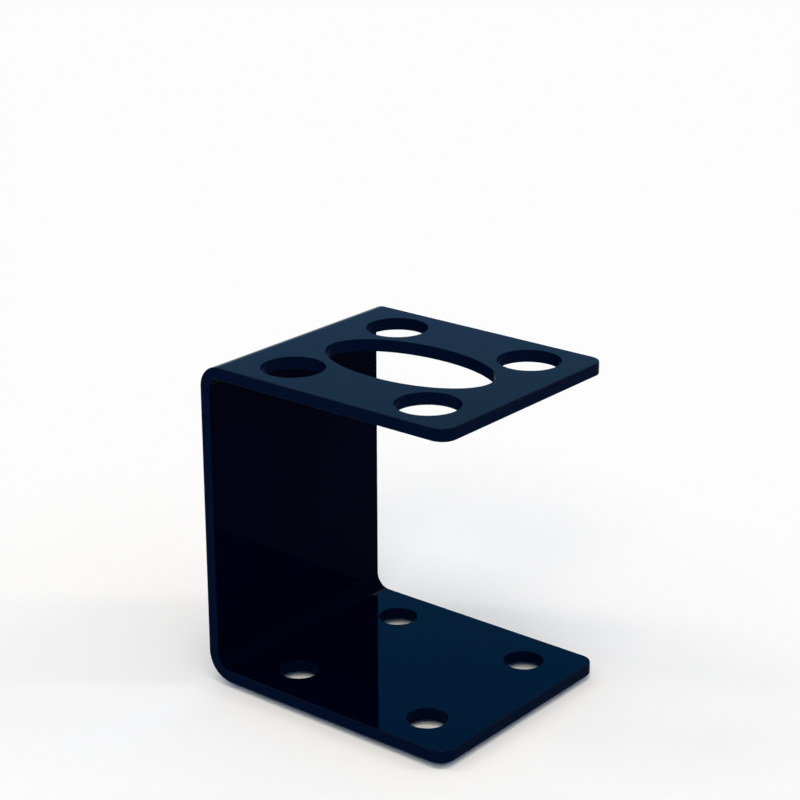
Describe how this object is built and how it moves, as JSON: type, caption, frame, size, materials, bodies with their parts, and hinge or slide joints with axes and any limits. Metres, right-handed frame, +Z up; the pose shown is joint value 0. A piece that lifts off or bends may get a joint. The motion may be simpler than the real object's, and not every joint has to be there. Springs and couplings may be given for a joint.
{
  "type": "toothbrush holder",
  "caption": "Free-standing C-shaped toothbrush holder bent from glossy black acrylic sheet, with round brush holes, an oval tube hole and drain holes, standing on clear bumper feet.",
  "frame": {"origin": "on the counter, under the middle of the holder's width and depth", "axes": "+Z up, +X to the right as seen from the open front, +Y towards the back panel"},
  "size_m": [0.08, 0.095, 0.108],
  "materials": {
    "black_acrylic": "polished, with fine handling scratches",
    "clear_bumper": "clear soft polyurethane, satin"
  },
  "bodies": {
    "root": {"bent_sheet": "black_acrylic", "foot_front_left": "clear_bumper", "foot_front_right": "clear_bumper", "foot_back_left": "clear_bumper", "foot_back_right": "clear_bumper"}
  },
  "joints": []
}
